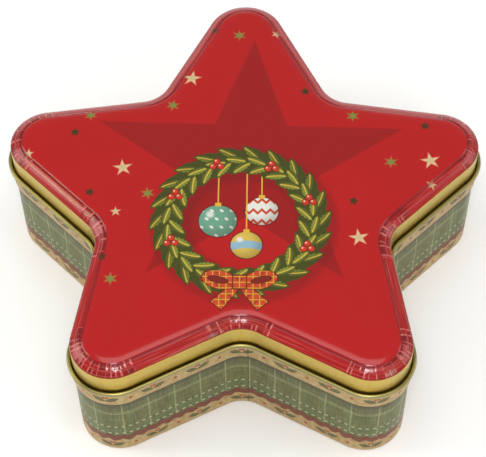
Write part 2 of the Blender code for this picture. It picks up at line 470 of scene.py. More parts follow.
def star_shape(paint, x, y, turn, reach, valley, tips=5):
    """Signed distance to a star: folded angle, then the side of the line from tip to valley."""
    angle = y.math("ARCTAN2", x) - turn
    fold = paint.repeat(angle, 2 * math.pi / tips)
    radius = paint.length(x, y)
    half = math.pi / tips
    edge = np.array([valley * math.cos(half) - reach, valley * math.sin(half)])
    normal = np.array([edge[1], -edge[0]]) / np.hypot(*edge)
    side = fold.math("COSINE") * float(normal[0]) + fold.math("SINE") * float(normal[1])
    return radius * side - float(reach * normal[0])


def nearest(paint, place, spots):
    """Coordinates around the nearest of several spots (x, y, turn), and that spot's turn."""
    chosen = (0.0, 0.0, 0.0)
    least = 1e6
    for x, y, turn in spots:
        far = paint.add("VectorMath", [place, (x, y, 0.0)], "Value", operation="DISTANCE")
        closer = far < least
        inputs = {0: closer, 4: chosen, 5: (x, y, math.radians(turn))}
        chosen = paint.add("Mix", inputs, 1, data_type="VECTOR")
        least = far.math("MINIMUM", least)
    local = paint.add("VectorMath", [place, chosen], operation="SUBTRACT")
    x, y, _ = paint.split(local)
    turn = paint.split(chosen)[2]
    return x, y, turn


def leaf_shape(x, y, length, width, scallops):
    """Distance-like value of a scalloped leaf along x: half width falls as 1 - (x / length)^2."""
    share = x / length
    wave = (share * (scallops * math.pi)).math("SINE")
    return abs(y) - (1.0 - share * share) * width * (1.0 - abs(wave) * SCALLOP_DEPTH)


def turned(x, y, degrees):
    """Coordinates turned so that a shape drawn along x lies at that angle."""
    c, s = math.cos(math.radians(degrees)), math.sin(math.radians(degrees))
    return x * c + y * s, y * c - x * s


# %% [markdown]
# ## The lid
#
# The lid is drawn in one press stroke. Going outwards from its middle: a flat panel that falls
# off in a slight crown, a narrow groove, a bevel of two slopes that meet at a fold, a rounded
# edge and the gold skirt. Where the outline curves, the bevel has metal to spare, which gathers
# into short creases across it. The creases are real height in the mesh, and attributes mark them
# and the metal between. The print is paler along a crease, and the metal between two gets
# painted shade.

# %% The lid's section
SKIRT_TOP = 62.6
EDGE_RADIUS = 1.2
BEVEL_WIDTH = 4.6
BEVEL_RISE = 2.8
FOLD_AT = -2.4
FOLD_LIFT = 0.2
RIDGE_LIFT = 0.05
GROOVE_WIDTH = 0.6
GROOVE_DEPTH = 0.3
GROOVE_BELL = 0.24
CROWN_WIDTH = 5.0
CROWN_RISE = 0.9
SKIRT_END = 42.15
FLARE = 0.2
FLARE_HEIGHT = 1.2

CROWN_END = BEVEL_WIDTH + GROOVE_WIDTH
bevel_normal = math.degrees(math.atan2(BEVEL_WIDTH, BEVEL_RISE))
edge_centre = (-EDGE_RADIUS, SKIRT_TOP - EDGE_RADIUS * math.tan(math.radians(bevel_normal) / 2))
corner = bend(edge_centre, EDGE_RADIUS, bevel_normal, 0, 12)


def lid_top_height(out):
    """Height of the sheet's top face for offsets `out`, from the panel to the rounded edge.

    The bevel is two slopes that meet at a fold, the outer one steeper, with a ridge on each that
    is half a sine. Past the groove, a narrow bell taken away, the crown is a parabola that meets
    the panel level.
    """
    stations = [-BEVEL_WIDTH, FOLD_AT, corner[0, 0]]
    slope = SKIRT_TOP - np.maximum(out, -BEVEL_WIDTH) * BEVEL_RISE / BEVEL_WIDTH
    slope = slope + FOLD_LIFT * np.interp(out, stations, [0, 1, 0])
    ridges = np.interp(out, stations, [0, 1, 2])
    crown = CROWN_RISE * (1 - ramp(out, -CROWN_WIDTH - CROWN_END, CROWN_WIDTH) ** 2)
    groove = GROOVE_DEPTH * bell(out + BEVEL_WIDTH + GROOVE_WIDTH / 2, GROOVE_BELL)
    return slope + RIDGE_LIFT * np.abs(np.sin(np.pi * ridges)) + crown - groove


top_out = np.concatenate([
    np.linspace(-CROWN_END - CROWN_WIDTH, -CROWN_END, 9),
    np.linspace(-BEVEL_WIDTH - 0.5, -BEVEL_WIDTH + 0.05, 5),
    np.linspace(-BEVEL_WIDTH + 0.3, corner[0, 0] - 0.3, 12),
])
top_face = np.stack([top_out, lid_top_height(top_out)], -1)
skirt = np.array([[0.0, edge_centre[1] - 0.4], [0.0, SKIRT_END + FLARE_HEIGHT]])
flare_drop = np.linspace(0, 1, 4)
flare = np.stack([FLARE * flare_drop ** 2, SKIRT_END + FLARE_HEIGHT * (1 - flare_drop)], -1)[1:]
outer = np.concatenate([top_face, corner, filled_in(skirt, 4.5), flare])
# The inner face lies a whole thickness from the outer one and needs fewer points on top
inner = 3 * outer - 2 * face_of(outer, 1)
inner = inner[np.r_[0:len(top_out):3, len(top_out):len(outer)]][::-1]
lid_section, lid_shrink = closed_in(outer, inner)

# %% Creases round the corners
CREASE_SPREAD = 0.36
CREASE_LIFT = 0.13
# Reach to each side of a corner's middle, and the usual gap between two creases, both in mm
TIP_CREASES = (TIP_RUN + 3.0, 2.4)
VALLEY_CREASES = (11.5, 2.1)
# How strongly each corner is creased, anticlockwise from the back tip
TIP_CREASING = [0.2, 1.0, 1.0, 1.0, 0.7]
VALLEY_CREASING = [0.3, 1.0, 1.0, 0.9, 0.3]
CREASES_FROM = -5.6
rng = np.random.default_rng(5)


def creases(around):
    """Height of the creases at each column, and the painted shade on the metal between two of them.

    Beside each corner the creases stand about `gap` apart, none exactly even. Each is a narrow
    bell, and the height is their sum, from -1 to 1. The stretch from one crease to the next gets
    one strength of painted shade. Both come in two rows: for the slope inside the fold and for
    the one outside it.
    """
    height = np.zeros((2, len(around)))
    dark = np.zeros((2, len(around)))
    for k in range(5):
        tip = 2 * HALF_RUN * k
        for middle, (reach, gap), strength in ((tip, TIP_CREASES, TIP_CREASING[k]),
                                               (tip + HALF_RUN, VALLEY_CREASES, VALLEY_CREASING[k])):
            count = int(2 * reach / gap)
            spots = np.sort(np.linspace(-reach, reach, count) + rng.normal(0, gap * 0.3, count))
            lift = rng.uniform(0.25, 1.0, (2, count)) * rng.choice([1, 1, 1, -0.8], (2, count))
            apart = (around - middle + ROUND / 2) % ROUND - ROUND / 2
            height += strength * lift @ bell(apart - spots[:, None], CREASE_SPREAD)
            stretch = np.searchsorted(spots, apart)
            darkness = strength * rng.uniform(0, 1, (2, count + 1))
            darkness[:, [0, -1]] = 0
            dark += darkness[:, stretch]
    return np.clip(height, -1, 1), dark


lid_around = columns(0.34, 0.34, 3.4)
crease, between = creases(lid_around[:-1])
lid_points, lid_height = carried(lid_section, lid_around, lid_shrink)
lid_out = lid_section[:, 0]
# The creases fade out towards the crown and the skirt, and almost at the fold
window = ramp(lid_out, CREASES_FROM, 0.8) * ramp(-lid_out, 0, 0.5)
window = window * (1 - 0.7 * bell(lid_out - FOLD_AT, 0.25)) * (lid_shrink == 1)
outside = ramp(lid_out, FOLD_AT - 0.3, 0.6)[:, None]
crease = window[:, None] * (crease[0] * (1 - outside) + crease[1] * outside)
lid_points[..., 2] += CREASE_LIFT * crease

lid = grid_mesh("lid_sheet", lid_points, lid_around, lid_height, section_closed=False)
shade = np.where((lid_out < FOLD_AT)[:, None], between[:1], between[1:]) * window[:, None]
for name, values in (("crease", np.abs(crease)), ("between", shade)):
    # The two poles of the mesh come last
    values = np.append(values.reshape(-1), [0.0, 0.0]).astype(np.float32)
    lid.data.attributes.new(name, "FLOAT", "POINT").data.foreach_set("value", values)

# %% [markdown]
# ## The lid's print
#
# The artwork is printed flat, before the sheet is pressed: a red ground, one large darker star,
# a scatter of small cream and green stars, and a picture in the middle. The picture here is a
# plain holly wreath with a bow and three baubles. Everything is drawn in millimetres from the
# middle of the star. The skirt is left unprinted under a clear gold lacquer, so the bright tin
# shows through it as metal.

# %% Inks
RED = ink(184, 18, 18)
DARK_RED = ink(161, 18, 18)
DEEP_RED = ink(120, 6, 18)
PALE_RED = ink(226, 128, 116)
CREAM = ink(232, 192, 148)
CREAM_HEART = ink(206, 190, 140)
RED_CLOUD = ink(192, 21, 21)
OUTLINE_BROWN = ink(96, 30, 14)
GOLD = ink(202, 176, 88)
GOLD_DEEP = ink(190, 162, 76)
GOLD_PAINTED_LIGHT = ink(250, 226, 140)
BLACK = ink(0, 0, 0)
GREEN_HEART = ink(124, 138, 72)
LEAF_GREEN = ink(150, 126, 54)
DARK_GREEN = ink(78, 50, 16)
# Levels on the lid in mm: the gold's upper edge, the top of the painted light on its lower part, the
# bevel's top and the groove
GOLD_BELOW = 62.43
SKIRT_LIGHT_BELOW = 54.5
BEVEL_BELOW = 65.2
GROOVE_LEVEL = 65.3
FOLD_LEVEL = SKIRT_TOP - FOLD_AT * BEVEL_RISE / BEVEL_WIDTH + FOLD_LIFT
# The printed inks are this much deeper than they look under the lamps
INK_DEPTH = 0.22

BIG_STAR = (2.4, 13.8, 88.5)
BIG_STAR_REACH = 70.0
BIG_STAR_VALLEY = 26.8
# Small stars: x, y from the star's centre in mm, and the direction of one tip in degrees
CREAM_BIG = [(-23.7, 61.6, 80), (-52.2, 12.1, 98), (80.7, 16.6, 100), (48.8, -23.5, 98)]
CREAM_SMALL = [(14.0, 87.9, 70), (-93.7, 19.7, 85), (-54.1, -10.9, 95), (80.7, 4.7, 80)]
GREEN_STARS = [(-2.8, 86.6, 92), (-31.7, 46.2, 80), (-67.8, 40.7, 95), (47.7, 40.8, 88),
               (63.6, 15.8, 85), (-40.9, -1.4, 100), (31.3, -24.0, 95), (-54.5, -44.6, 92)]
DARK_STARS = [(-14.0, 90.2, 90), (-74.1, 31.1, 90), (-65.7, -0.9, 75), (26.9, 54.4, 90),
              (79.3, 35.4, 90), (47.0, -4.8, 80), (-58.6, -33.2, 90)]


def scatter(paint, place, base, spots, reach, valley, colour, heart, tips=5):
    """Small stars of one kind laid over the ground, each with a heart of another colour."""
    x, y, turn = nearest(paint, place, spots)
    shape = star_shape(paint, x, y, turn, reach, valley, tips)
    fill = paint.over(colour, heart, paint.within(paint.length(x, y), valley * 0.8, valley))
    return paint.laid(base, fill, shape, 0.0, 0.6)


def red_ground(paint, place, x, y):
    """Red with a little unevenness, the large star and the scatter of small ones."""
    ground = paint.over(RED, RED_CLOUD, paint.noise(place, 0.035))
    big_x, big_y, big_turn = x - BIG_STAR[0], y - BIG_STAR[1], math.radians(BIG_STAR[2])
    big = star_shape(paint, big_x, big_y, big_turn, BIG_STAR_REACH, BIG_STAR_VALLEY)
    ground = paint.laid(ground, DARK_RED, big, 0.0, 0.9)
    ground = scatter(paint, place, ground, DARK_STARS, 2.2, 1.3, DARK_GREEN, DARK_GREEN)
    ground = scatter(paint, place, ground, GREEN_STARS, 3.1, 1.3, LEAF_GREEN, GREEN_HEART, 6)
    ground = scatter(paint, place, ground, CREAM_SMALL, 2.3, 0.95, CREAM, CREAM_HEART)
    return scatter(paint, place, ground, CREAM_BIG, 4.3, 1.6, CREAM, CREAM_HEART)


# %% The wreath
WREATH_AT = (-1.0, -15.0)
WREATH_RADIUS = 31.0
WREATH_BAND = 6.4
LEAVES = 22
BERRY_RADIUS = 1.35
BERRY_EDGE = ink(120, 26, 14)
BERRY_RED = ink(208, 58, 34)
BERRY_SHINE = ink(250, 214, 170)


def ring_of_leaves(paint, base, radius, angle, ring, tilt, shift, colours, size):
    """Leaves repeated round a ring: the angle is folded into sectors, one leaf in each."""
    sector = 2 * math.pi / LEAVES
    local = (angle + shift * sector).math("WRAP", sector / 2, -sector / 2)
    x, y = turned(local * ring, radius - ring, tilt)
    edge, body, rib = colours
    shape = leaf_shape(x, y, size, size * 0.42, 3.0)
    light = paint.over(body, edge, paint.rise(y, size * 0.1, size * 0.7))
    base = paint.outlined(base, shape, edge, light, -0.15, 0.5)
    along = paint.within(abs(x), size * 0.8, 0.4)
    return paint.over(base, rib, paint.within(abs(y), 0.26, 0.25) * along)


def berries(paint, base, x, y):
    """Eight threes of berries round the wreath, each with a highlight up and to the left."""
    ring = np.radians(np.arange(8) * 45.0 + 20)
    spots = [(WREATH_RADIUS * c + dx, WREATH_RADIUS * s + dy)
             for c, s in zip(np.cos(ring).tolist(), np.sin(ring).tolist())
             for dx, dy in ((0.0, 1.4), (-1.6, -1.2), (1.7, -1.1))]
    aside = BERRY_RADIUS * 0.35
    for spot_x, spot_y in spots:
        far = paint.length(x - spot_x, y - spot_y)
        base = paint.outlined(base, far, BERRY_EDGE, BERRY_RED, BERRY_RADIUS)
        glint = paint.length(x - (spot_x - aside), y - (spot_y + aside))
        base = paint.laid(base, BERRY_SHINE, glint, BERRY_RADIUS * 0.3, 0.3)
    return base


def wreath(paint, base, x, y):
    """A ring of holly: a dark ground with a rippled edge and three rows of leaves."""
    radius = paint.length(x, y)
    angle = y.math("ARCTAN2", x)
    ripple = (angle * LEAVES).math("COSINE") * 0.7
    depth = abs(radius - WREATH_RADIUS) - ripple
    base = paint.laid(base, ink(70, 74, 18), depth, WREATH_BAND, 0.5)
    greens = (ink(74, 80, 22), ink(134, 142, 52), ink(226, 190, 72))
    deeper = (ink(60, 66, 18), ink(112, 120, 38), ink(214, 178, 66))
    for out, tilt, shift, colours, size in ((4.0, 38, 0.0, deeper, 6.0), (-3.6, -36, 0.5, greens, 5.2),
                                            (0.6, 12, 0.25, greens, 5.0)):
        ring = WREATH_RADIUS + out
        base = ring_of_leaves(paint, base, radius, angle, ring, tilt, shift, colours, size)
    return base


# %% Baubles and bow
TEAL = ink(112, 168, 142)
SKY = ink(150, 190, 206)
WHITE = ink(238, 236, 228)
YELLOW = ink(222, 190, 84)
ORANGE = ink(206, 74, 38)
GOLD_LINE = ink(228, 186, 62)
# Baubles: x, y and radius in mm from the wreath's middle, colour, pattern colour, pattern
BAUBLES = [(-9.6, -0.5, 8.0, TEAL, WHITE, "dots"), (9.0, 4.6, 7.0, WHITE, ORANGE, "zigzag"),
           (2.6, -12.6, 6.6, YELLOW, SKY, "bands")]


def bauble(paint, base, x, y, radius, colour, trim, pattern, hook):
    """A ball on a thread: a shaded disc, its trim, a small cap and a highlight."""
    thread = paint.within(abs(x), 0.28, 0.25) * paint.rise(y, radius, 0.3)
    base = paint.over(base, GOLD_LINE, thread * paint.within(y, hook, 0.3))
    far = paint.length(x, y)
    if pattern == "dots":
        mark = paint.length(paint.repeat(x + y * 0.5, 4.2), paint.repeat(y - 1.05, 4.2))
        mask = paint.within(mark, 0.75, 0.3)
    elif pattern == "zigzag":
        wave = paint.repeat(x, 3.6) * 1.1 + y
        mask = paint.within(abs(paint.repeat(wave - 0.9, 5.4)), 0.8, 0.3)
    else:
        mask = paint.within(abs(y + x * x * 0.03 - 0.4), 1.9, 0.3)
    disc = paint.over(colour, trim, mask)
    shade = paint.rise(paint.length(x + radius * 0.3, y - radius * 0.3), radius * 0.95, radius)
    disc = paint.over(disc, ink(70, 44, 26), shade * 0.42)
    glint = paint.length(x + radius * 0.42, y - radius * 0.42)
    disc = paint.laid(disc, WHITE, glint, radius * 0.2, radius * 0.2, 0.85)
    base = paint.laid(base, ink(112, 20, 16), far, radius + 0.5, 0.5)
    base = paint.laid(base, disc, far, radius, 0.3)
    cap = paint.within(abs(x), 1.3, 0.3) * paint.within(abs(y - radius - 0.4), 0.9, 0.3)
    return paint.over(base, GOLD_LINE, cap)


def checked(paint, x, y):
    """Ribbon cloth: orange-red with gold lines both ways and a darker stripe."""
    across_lines = paint.within(paint.repeat(x, 2.8), 0.2, 0.2)
    down_lines = paint.within(paint.repeat(y, 2.8), 0.2, 0.2)
    stripe = paint.within(paint.repeat(x - y + 0.7, 5.6), 0.8, 0.6)
    cloth = paint.over(ORANGE, ink(150, 40, 22), stripe * 0.6)
    return paint.over(cloth, GOLD_LINE, across_lines.math("MAXIMUM", down_lines) * 0.8)


def bow(paint, base, x, y):
    """A bow at the foot of the wreath: two tails, two loops and a knot."""
    side = abs(x)
    cloth = checked(paint, side, y)
    edge = ink(104, 24, 14)
    tail_x, tail_y = turned(side - 5.6, y + 6.6, -50)
    tail = abs(tail_x).math("SUBTRACT", 6.2).math("MAXIMUM", abs(tail_y) - 2.5 - tail_x * 0.08)
    loop_x, loop_y = turned(side - 8.2, y - 1.2, 14)
    loop = paint.length(loop_x, loop_y * 1.75) - 7.6
    hole_x, hole_y = turned(side - 9.0, y - 1.3, 14)
    hole = paint.length(hole_x, hole_y * 2.6) - 4.2
    knot = side.math("MAXIMUM", abs(y - 0.2) * 0.85) - 2.7
    for shape, fill in ((tail, cloth), (loop, cloth), (hole, ink(128, 34, 20)), (knot, cloth)):
        base = paint.outlined(base, shape, edge, fill, -0.1, 0.5)
    return base


def picture(paint, base, x, y):
    """The picture in the middle of the lid."""
    x, y = x - WREATH_AT[0], y - WREATH_AT[1]
    shadow = abs(paint.length(x - 1.6, y + 2.2) - WREATH_RADIUS)
    base = paint.laid(base, ink(120, 16, 16), shadow, WREATH_BAND + 2.5, 4.0, 0.45)
    for at_x, at_y, reach, colour, trim, pattern in BAUBLES:
        hook = math.sqrt((WREATH_RADIUS - 4) ** 2 - at_x ** 2) - at_y
        base = bauble(paint, base, x - at_x, y - at_y, reach, colour, trim, pattern, hook)
    base = wreath(paint, base, x, y)
    base = berries(paint, base, x, y)
    return bow(paint, base, x, y + WREATH_RADIUS)


# %% The lid's materials
def lid_print():
    """Varnished red print on the top and clear gold lacquer on the skirt."""
    paint = Paint("lid_print")
    place = paint.place()
    x, y, z = paint.split(place)
    y = y - CENTRE_Y
    flat = paint.add("CombineXYZ", [x, y, 0.0])
    top = picture(paint, red_ground(paint, flat, x, y), x, y)
    crease = paint.add("Attribute", output="Fac", attribute_name="crease")
    between = paint.add("Attribute", output="Fac", attribute_name="between")
    on_bevel = paint.within(z, BEVEL_BELOW, 0.4)
    # The whole bevel is laid a little towards deep red: painted shade on its slopes.
    top = paint.over(top, DEEP_RED, on_bevel * 0.18)
    # A thin deep red line along the groove is painted shade in the recess.
    top = paint.laid(top, DEEP_RED, abs(z - GROOVE_LEVEL), 0.15, 0.15, 0.6)
    # Painted shade darkens the metal between two creases, more on some stretches than on others.
    top = paint.over(top, DEEP_RED, between * 0.8)
    u, v = paint.print_place()
    # Thin pale and deep red lines along the bevel are painted highlights and painted shade of fine
    # ridges.
    drawn = paint.streaks(u * 0.04, v * 3.2, 0.0)
    top = paint.over(top, PALE_RED, paint.rise(drawn, 0.58, 0.16) * on_bevel * 0.3)
    top = paint.over(top, DEEP_RED, paint.within(drawn, 0.42, 0.16) * on_bevel * 0.3)
    patchy = 0.25 + paint.noise(place, 0.7) * 1.1
    at_fold = paint.within(abs(z - FOLD_LEVEL), 0.12, 0.12) * paint.rise(between, 0.2, 0.3)
    worn = paint.rise(crease, 0.4, 0.4) + at_fold * 0.5
    top = paint.over(top, PALE_RED, worn * patchy * 0.9)
    top = paint.laid(top, OUTLINE_BROWN, abs(z - GOLD_BELOW - 0.2), 0.2, 0.3, 0.5)
    top = paint.over(top, BLACK, INK_DEPTH)
    jitter = (paint.noise(place, 0.25) - 0.5) * 0.25
    printed = paint.rise(z + jitter, GOLD_BELOW, 0.14)
    streak = paint.streaks(x * 0.5, y * 0.5, z * 0.04, 3.0)
    gold = paint.over(GOLD, GOLD_DEEP, streak)
    # The lower skirt, towards the gap above the curl, is laid paler gold: painted light.
    gold = paint.laid(gold, GOLD_PAINTED_LIGHT, z, SKIRT_LIGHT_BELOW, 4.0, 0.8)
    waves = paint.noise(place, 0.05, 1.0) * 0.30 + paint.noise(place, 1.6) * 0.012
    return paint.finish(
        Base_Color=paint.over(gold, top, printed),
        Metallic=1.0 - printed,
        Roughness=0.30 - printed * 0.15 + (streak - 0.5) * 0.08,
        Specular_IOR_Level=0.4,
        Normal=paint.bumped(waves, 0.35),
    )


def lacquer(name, colour, deeper):
    """Pale gold lacquer over bright tin, for the inside of the tin and, in darker colours as painted
    shade, its rolled rim.
    """
    paint = Paint(name)
    place = paint.place()
    cloud = paint.noise(place, 0.08, 3.0)
    grain = paint.grain(place, (0.4, 6.0, 0.4))
    return paint.finish(
        Base_Color=paint.over(colour, deeper, cloud),
        Metallic=1.0,
        Roughness=0.24 + cloud * 0.1 + grain * 0.04,
        Normal=paint.bumped(paint.noise(place, 0.06, 1.0) * 0.25 + grain * 0.006, 0.4),
    )


LACQUER = lacquer("gold_lacquer", ink(220, 212, 164), ink(206, 194, 138))
# The rolled rim gets a darker copy of the same lacquer: painted shade.
SHADED_RIM_LACQUER = lacquer("rim_lacquer_painted_shade", ink(164, 156, 108), ink(144, 136, 86))
inside = second_face(lid, lid_section, lid_around, len(RINGS) + len(outer))
paint_faces(lid, [lid_print(), LACQUER], inside)
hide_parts("lid")
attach(lid, "lid")

# %% [markdown]
# ## The body
#
# The body's strip is printed green plaid between two tan borders, bent into the star and hooked
# to itself just right of the front valley. Near its top the wall steps out over a shoulder, so
# that the lid's skirt fits flush above it, and the rim is rolled outwards into a curl that shows
# the gold lacquer of the inside. The foot is turned in flat under the tin.

# %% The body's section
FOOT_WIDTH = 3.6
FOOT_RADIUS = 1.2
SHOULDER = 41.1
NECK_ROOM = 0.5
RIM_TOP = 52.5
CURL_RADIUS = 0.83
CURL_END = -105
SEAM_AT = 5 * HALF_RUN + 2.7
SEAM_WIDTH = 4.5
SEAM_DEPTH = 0.5
SEAM_STEP = 0.35
SEAM_FROM = 3.9
GROOVE_AT_SEAM = 0.16
WALL_JOIN = SHOULDER - 1.5

half_sheet = SHEET / 2
neck_middle = NECK_ROOM + half_sheet
slope_low = SHOULDER + half_sheet * math.tan(math.pi / 8)
slope_high = slope_low + neck_middle + half_sheet
curl_centre = (NECK_ROOM + CURL_RADIUS, RIM_TOP - CURL_RADIUS)
wall_line = rounded([
    (-FOOT_WIDTH, half_sheet), (-half_sheet, half_sheet), (-half_sheet, WALL_JOIN),
], FOOT_RADIUS - half_sheet, 15)
neck_line = rounded([
    (-half_sheet, WALL_JOIN), (-half_sheet, slope_low), (neck_middle, slope_high),
    (neck_middle, curl_centre[1]),
], 0.45, 22)[1:-1]
curl_line = bend(curl_centre, CURL_RADIUS - half_sheet, 180, CURL_END, 20)
middle_line = filled_in(np.concatenate([wall_line, neck_line, curl_line]), 2.6)
outer_face = face_of(middle_line, -1)
inner_face = face_of(middle_line, 1)[::-1]
body_section = np.concatenate([outer_face, inner_face])

# %% The lock seam and the body's mesh
seam_columns = [0.08, 0.16, 0.26, 0.4, 0.6, SEAM_WIDTH / 2, SEAM_WIDTH / 2 + SEAM_STEP]
seam_columns = SEAM_AT + np.array(seam_columns)
body_around = columns(0.8, 0.7, 3.0, start=SEAM_AT)
near_seam = np.concatenate([seam_columns, 2 * SEAM_AT + ROUND - seam_columns])
body_around = np.unique(np.round(np.concatenate([body_around, near_seam]), 4))
body_points, body_height = carried(body_section, body_around)
from_seam = body_around[:-1] - SEAM_AT
from_seam = np.minimum(from_seam, ROUND - from_seam)
groove = GROOVE_AT_SEAM * bell(from_seam, 0.22)
fold = SEAM_DEPTH * ramp(-from_seam, -SEAM_WIDTH / 2 - SEAM_STEP, SEAM_STEP)
# The groove runs up the outer face from foot to curl, the fold up the wall's inner face
on_outside = np.arange(len(body_section)) < len(outer_face)
on_wall = ramp(body_height, SEAM_FROM, 0.5) * ramp(-body_height, 0.3 - SHOULDER, 0.5)
fold_window = np.where(on_outside, 0.0, on_wall)
below_curl = (body_section[:, 0] < NECK_ROOM + 0.7) & (body_height < RIM_TOP - 2 * CURL_RADIUS)
groove_window = np.where(on_outside & below_curl, ramp(body_height, 0.4, 1.0), 0.0)
inwards = fold_window[:, None] * fold + groove_window[:, None] * groove
way_out = star_line(body_around[:-1], np.ones(len(from_seam)))
way_out = way_out - star_line(body_around[:-1], np.zeros(len(from_seam)))
body_points[..., :2] -= inwards[..., None] * way_out[None]
body = grid_mesh("body_strip", body_points, body_around - SEAM_AT, body_height, section_closed=True)

# %% [markdown]
# ## The body's print
#
# The strip was printed flat, so its pattern is laid out in the UV map: u runs round the tin from
# the seam and v is the height. From the foot upwards it has a tan border with sprigs of holly, a
# wavy red-brown braid, two rows of white stitches, the green plaid and, on the neck, the tan
# border again. The plaid's thin pale lines stand about 12 mm apart.

# %% Plaid, stitches, braid and holly
TAN = ink(186, 162, 112)
TAN_DEEP = ink(174, 140, 88)
OLIVE = ink(101, 107, 57)
OLIVE_DEEP = ink(85, 91, 46)
MOSS = ink(89, 94, 58)
BLUE_GREEN = ink(92, 108, 70)
THREAD_DARK = ink(58, 64, 32)
THREAD_PALE = ink(150, 154, 108)
SHOULDER_SHADE = ink(74, 64, 42)
PALE_LINE = ink(158, 162, 112)
STITCH = ink(186, 190, 148)
NEEDLE_HOLE = ink(60, 72, 38)
BROWN_LINE = ink(118, 84, 50)
BRAID = ink(136, 54, 36)
BRAID_DARK = ink(92, 44, 30)
BRAID_GREEN = ink(112, 92, 52)
BRAID_EDGE = ink(84, 40, 30)
HOLLY = ink(78, 86, 40)
HOLLY_EDGE = ink(48, 54, 22)
BERRY = ink(156, 64, 32)

PLAID_STEP = 11.93
STITCH_STEP = 3.1
BRAID_STEP = 6.0
HOLLY_STEP = ROUND / 34
HOLLY_START = 17.6
# Levels on the strip in mm, from the foot upwards
SPRIG_LEVEL = 4.6
BORDER_SHADE = 8.6
BRAID_LEVEL = 10.7
STITCH_LEVELS = (14.6, 20.3)
BLUE_GREEN_BAND = 17.3
BROWN_LEVEL = 23.2
PALE_LEVELS = (31.9, 33.0)
MOSS_ABOVE = 34.4
SHADE_ABOVE = 38.4
NECK_SPRIG_LEVEL = 46.0


def plaid(paint, u, v):
    """Green cloth: broad darker stripes, thin pale lines, faint brown ones, a weave, and painted shade
    darkening its top under the shoulder.
    """
    cloth = paint.laid(OLIVE, OLIVE_DEEP, paint.repeat(u - 6.5, PLAID_STEP), 2.4, 1.2, 0.55)
    # Above the pale lines the cloth turns a darker moss green: partly its print, partly painted shade
    # under the shoulder's overhang.
    cloth = paint.over(cloth, MOSS, paint.rise(v, MOSS_ABOVE, 0.8) * 0.8)
    cloth = paint.laid(cloth, BLUE_GREEN, abs(v - BLUE_GREEN_BAND), 2.4, 1.0, 0.45)
    for at in PALE_LEVELS:
        cloth = paint.laid(cloth, PALE_LINE, abs(v - at), 0.3, 0.3, 0.65)
    cloth = paint.laid(cloth, BROWN_LINE, abs(v - BROWN_LEVEL), 0.3, 0.3, 0.3)
    for offset in (1.9, 6.4, 8.6):
        cloth = paint.laid(cloth, BROWN_LINE, paint.repeat(u - offset, PLAID_STEP), 0.22, 0.3, 0.45)
    cloth = paint.laid(cloth, PALE_LINE, paint.repeat(u - 0.5, PLAID_STEP), 0.3, 0.3, 0.8)
    for scale_u, scale_v in ((1.3, 0.12), (0.12, 1.5)):
        threads = paint.streaks(u * scale_u, v * scale_v, 0.0)
        cloth = paint.over(cloth, THREAD_DARK, paint.rise(threads, 0.58, 0.16) * 0.3)
        cloth = paint.laid(cloth, THREAD_PALE, threads, 0.4, 0.14, 0.22)
    return paint.over(cloth, SHOULDER_SHADE, paint.rise(v, SHADE_ABOVE, 4.0) * 0.85)


def stitches(paint, base, u, v, level):
    """One row of stitches: short pale dashes with a dark needle hole at each end."""
    along = paint.repeat(u, STITCH_STEP)
    tall = paint.within(abs(v - level), 0.36, 0.3)
    base = paint.laid(base, NEEDLE_HOLE, abs(along - 1.15), 0.3, 0.3, tall)
    return paint.laid(base, STITCH, along, 0.8, 0.35, tall)


def sprig(paint, base, u, v, level):
    """Two holly leaves and berries, and a single berry halfway to the next sprig."""
    local = (u - HOLLY_START).math("WRAP", HOLLY_STEP / 2, -HOLLY_STEP / 2)
    side = abs(local)
    x, y = turned(side - 2.7, v - level, 24)
    leaf = leaf_shape(x, y, 2.8, 1.35, 2.5)
    base = paint.outlined(base, leaf, HOLLY_EDGE, HOLLY, -0.2)
    base = paint.laid(base, TAN_DEEP, abs(y), 0.14, 0.2, paint.within(abs(x), 2.2, 0.4) * 0.6)
    pair = paint.length(side - 0.65, v - level - 1.5)
    base = paint.laid(base, BERRY, pair, 0.72, 0.3)
    single = paint.length(side - HOLLY_STEP / 2, (v - level) * 0.8)
    return paint.laid(base, BERRY, single, 0.75, 0.35)


